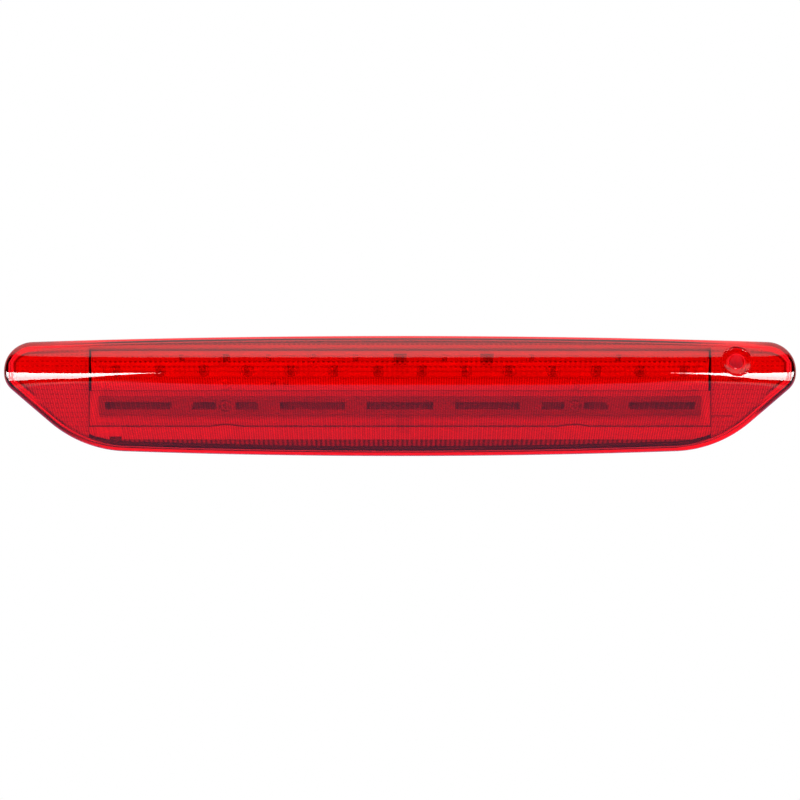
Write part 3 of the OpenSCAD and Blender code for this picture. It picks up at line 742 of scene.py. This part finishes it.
def inset_at(x, z):
    """Distance from the lens's outline to a place inside it."""
    slope = (bottom_line(abs(x) + 0.5, 0) - bottom_line(abs(x) - 0.5, 0)) if abs(x) < HALF - 1 else 1
    rise = (top_line(abs(x) + 0.5, 0) - top_line(abs(x) - 0.5, 0)) if abs(x) < HALF - 1 else 1
    above = (top_line(x, 0) - z) / math.hypot(1, rise)
    under = (z - bottom_line(x, 0)) / math.hypot(1, slope)
    return max(0, min(above, under, HALF - abs(x)))


def flutes(u, z):
    """Relief of the lens's inside: fine flutes below, and wider pillows in the sloping band."""
    if z > UPPER_BEND - 0.5:
        return 0.05 * math.cos(2 * math.pi * u / (2 * FLUTE))
    if -22 < z:
        return 0.055 * math.cos(2 * math.pi * u / FLUTE)
    return 0


bm = bmesh.new()
outer_columns = column_places(0.9, HALF - EDGE, 44)
inner_columns = column_places(FLUTE / 4, HALF - WALL - EDGE / 2, 60)
outer_rim = add_skin(bm, outer_columns, (18, 24, 14), 0, 0, EDGE, lambda u, z: 0)
inner_rim = add_skin(bm, inner_columns, (16, 12, 10), WALL, WALL_DEPTH, EDGE / 2, flutes)
bmesh.ops.triangle_fill(bm, edges=outer_rim + inner_rim, use_beauty=False, normal=(0, 1, 0))
bmesh.ops.recalc_face_normals(bm, faces=bm.faces)

# Seat and tube for the nozzle, on its tilted axis
NOZZLE_TILT = math.radians(24)
NOZZLE_X = HALF - 30
NOZZLE_Z = UPPER_BEND - 2.3
SEAT_DEPTH = depth(NOZZLE_X, NOZZLE_Z) - 2.8
TUBE_R, BORE_R, SEAT_R = 5.2, 3.9, 7.25
TUBE_LENGTH = (SEAT_DEPTH - TUBE_R * math.sin(NOZZLE_TILT)) / math.cos(NOZZLE_TILT)


def nozzle_bar(name, radius, back, front, round_edge):
    """A round bar on the nozzle's axis, from a distance behind the seat to one in front of it."""
    bar = bmesh.new()
    bmesh.ops.create_cone(bar, cap_ends=True, segments=72, radius1=radius * MM, radius2=radius * MM,
                          depth=(front + back) * MM)
    if round_edge:
        ends = [e for e in bar.edges if abs(e.verts[0].co.z - e.verts[1].co.z) < 0.01 * MM]
        bmesh.ops.bevel(bar, geom=ends, offset=round_edge * MM, offset_type="OFFSET", segments=3,
                        profile=0.5, affect="EDGES", material=-1)
    bmesh.ops.translate(bar, vec=(0, 0, (front - back) / 2 * MM), verts=bar.verts)
    bmesh.ops.rotate(bar, matrix=Matrix.Rotation(math.pi / 2 - NOZZLE_TILT, 3, "X"), verts=bar.verts)
    bmesh.ops.translate(bar, vec=(NOZZLE_X * MM, -SEAT_DEPTH * MM, NOZZLE_Z * MM), verts=bar.verts)
    return show(name, bar, red_acrylic)


red_acrylic, w = new_material("red_acrylic")
x, y, z = place_in_mm(w)
inset = w.node("ShaderNodeAttribute", {"attribute_name": "inset"}, {}, 2)
at_top, at_bottom, at_end = z.step(0, 10), 1 - z.step(-10, 0), abs(x).step(140, 175)
upper_end = z.step(-2, 4)
# painted shade: fine fanned dark lines along the flutes, with two plain pads at the left
fan = x / (1 + z / FAN_DEPTH)
pads = x.band(-151, -139, 0.2) * (z.band(-13, -10.5, 0.2) + z.band(-20, -15, 0.2))
lines = fan.wave(FLUTE).step(0.45, 0.9) * (
    z.band(-22, 5.2, 0.4) * 0.42 + z.band(5.2, 9.4, 0.4) * 0.45) * (1 - pads)
# painted shade: dark lines along the edge, standing in for the weld rib and the wall of the lens seen
# edge-on
painted_edge_shade = inset.band(1.3, 2.5, 0.15) * at_top * 0.55 + inset.band(2.3, 3.6, 0.15) * 0.7 * at_bottom
painted_end_shade = (inset.band(5.2, 6.4, 0.2) * upper_end * 0.7 + inset.band(3.9, 4.6, 0.15) * (1 - upper_end) * 0.6
            + (1 - inset.step(2.0, 2.4)) * (x.step(-150, -160) + x.step(176, 184)) * 0.8)
dark = (lines + painted_edge_shade * (1 - at_end) + painted_end_shade * at_end).capped()
# painted light: the nose band gets a lighter red, to make up for the dim board behind it
red_tint_with_painted_light = z.band(5.5, 19.5, 0.3).mix((0.86, 0.010, 0.017, 1), (0.98, 0.010, 0.010, 1))
glass = w.node("ShaderNodeBsdfPrincipled", {}, {
    "Base Color": dark.mix(red_tint_with_painted_light, (0.22, 0.006, 0.010, 1)),
    "Roughness": 0.02, "IOR": 1.49, "Transmission Weight": 1.0})
# painted light: bright lines beside them, and the light caught in the wall of the nozzle's tube
painted_edge_light = inset.band(0.25, 0.9, 0.15) * at_top * 0.55 + inset.band(0.35, 1.8, 0.2) * 0.8 * at_bottom
painted_end_light = (inset.band(2.5, 3.4, 0.15) * at_end * 0.6
              + inset.band(0.3, 2.0, 0.2) * x.band(140, 178, 3) * at_bottom * 0.8
              + inset.band(3.6, 4.9, 0.2) * abs(x).step(176, 184) * 0.5)
across = (y + SEAT_DEPTH) * math.sin(NOZZLE_TILT) + (z - NOZZLE_Z) * math.cos(NOZZLE_TILT)
from_axis = ((x - NOZZLE_X) * (x - NOZZLE_X) + across * across).math("SQRT")
in_bore = 1 - from_axis.step(BORE_R + 0.2, BORE_R + 0.5)
bright = (painted_edge_light * (1 - at_end) + painted_end_light + in_bore * 0.93).capped()
# painted light: a matt red surface without gloss stands in for light coming through the wall
painted_light_red = w.node("ShaderNodeBsdfPrincipled", {}, {
    "Base Color": (1.0, 0.010, 0.020, 1), "Roughness": 0.1, "Specular IOR Level": 0.0})
see_through(w, w.node("ShaderNodeMixShader", {}, {0: bright, 1: glass, 2: painted_light_red}), (0.92, 0.11, 0.13, 1))

kept_inset = bm.verts.layers.float.new("inset")
for v in bm.verts:
    v[kept_inset] = inset_at(v.co.x, v.co.z)
    v.co *= MM
for face in bm.faces:
    face.smooth = True
shell = show("lens_shell", bm, red_acrylic)
for name, radius, back, front, round_edge, operation in (
        ("seat_block", SEAT_R + 0.8, 1.4 * WALL, 1.0, 0.35, "UNION"),
        ("tube", TUBE_R, TUBE_LENGTH, -WALL, 0, "UNION"),
        ("seat_cut", SEAT_R, 0, 14.0, 0.3, "DIFFERENCE"),
        ("bore_cut", BORE_R, TUBE_LENGTH + 3, 14.0, 0, "DIFFERENCE")):
    tool = nozzle_bar(name, radius, back, front, round_edge)
    cut = shell.modifiers.new(name, "BOOLEAN")
    cut.operation, cut.object, cut.solver = operation, tool, "EXACT"
    bpy.context.view_layer.update()
    made = bpy.data.meshes.new_from_object(shell.evaluated_get(bpy.context.evaluated_depsgraph_get()))
    shell.modifiers.clear()
    shell.data = made
    bpy.data.objects.remove(tool)
bm = bmesh.new()
bm.from_mesh(shell.data)
bpy.data.objects.remove(shell)
bmesh.ops.remove_doubles(bm, verts=bm.verts, dist=0.003 * MM)
add_piece("red_lens", bm, red_acrylic, "red_lens", "outer_lens", smooth=40)

# ---------------------------------------------------------------------------
# Seals and gasket
# A die-cut gasket of closed-cell foam between the flange and the vehicle, black rubber rings
# round the studs and behind the connector's flange, and a pale silicone ring on the nozzle's tube.
# ---------------------------------------------------------------------------
foam, w = new_material("gasket_foam")
place = w.node("ShaderNodeTexCoord", out=3)
pores = w.node("ShaderNodeTexVoronoi", {}, {"Vector": place, "Scale": 1500.0}).step(0.15, 0.55)
broad = mottled(w, 60.0, 4.0)
bump = w.node("ShaderNodeBump", {}, {"Strength": 0.8, "Distance": 0.0002, "Height": pores})
surface(w, "ShaderNodeBsdfPrincipled", Roughness=0.9, Normal=bump,
        Base_Color=(pores * 0.6 + broad * 0.4).mix((0.012, 0.012, 0.013, 1), (0.05, 0.05, 0.053, 1)))
add_piece("gasket_sheet", softened("foam_gasket", 0.3), foam, "gasket_foam", "foam_gasket")

rubber = moulded_plastic("seal_rubber", (0.028, 0.028, 0.030), grain=0.2, scale=900.0, roughness=0.62)
silicone = moulded_plastic("pale_silicone", (0.50, 0.50, 0.50), grain=0.15, scale=700.0, roughness=0.55)
for name, node, finish in (("stud_rings", "stud_seals", rubber), ("nozzle_ring", "nozzle_seal", silicone),
                           ("socket_ring", "connector_seal", rubber)):
    add_piece(name, softened(node, 0.45, 3), finish, "seal_rubber", node)

# ---------------------------------------------------------------------------
# Connector
# A black two-way socket, moulded in glass-filled nylon and set into the pod's back wall, with
# tinned brass blades. Two insulated leads join the blades to the board.
# ---------------------------------------------------------------------------
nylon = moulded_plastic("socket_nylon", (0.018, 0.018, 0.020), grain=0.25, scale=1100.0, roughness=0.42)
add_piece("socket_shell", softened("connector_socket", 0.3), nylon, "black_socket", "connector_socket")
tinned, w = new_material("tinned_brass")
tarnish = mottled(w, 400.0, 5.0, low=0.35)
surface(w, "ShaderNodeBsdfPrincipled", Metallic=1.0, Roughness=0.25 + 0.15 * tarnish,
        Base_Color=tarnish.mix((0.80, 0.78, 0.72, 1), (0.70, 0.64, 0.50, 1)))
add_piece("socket_blades", softened("connector_terminals", 0.15), tinned, "tinned_brass",
          "connector_terminals")
insulation = moulded_plastic("lead_insulation", (0.35, 0.02, 0.02), grain=0.1, scale=500.0, roughness=0.4)
add_piece("lead_pair", softened("board_leads", 0.1), insulation, "lead_insulation", "board_leads")

# ---------------------------------------------------------------------------
# Vent
# A disc of woven membrane over the hole in the pod, and a snapped-on cap with four openings.
# ---------------------------------------------------------------------------
membrane, w = new_material("vent_membrane")
x, _, z = place_in_mm(w)
weave = x.wave(0.5) * z.wave(0.5)
bump = w.node("ShaderNodeBump", {}, {"Strength": 0.5, "Distance": 0.0001, "Height": weave})
surface(w, "ShaderNodeBsdfPrincipled", Roughness=0.75, Normal=bump,
        Base_Color=weave.mix((0.78, 0.78, 0.75, 1), (0.88, 0.88, 0.86, 1)))
add_piece("vent_disc", softened("vent_membrane", 0.08), membrane, "membrane", "vent_membrane")
add_piece("vent_cover", softened("vent_cap", 0.4, 3), black_abs, "black_housing", "vent_cap")
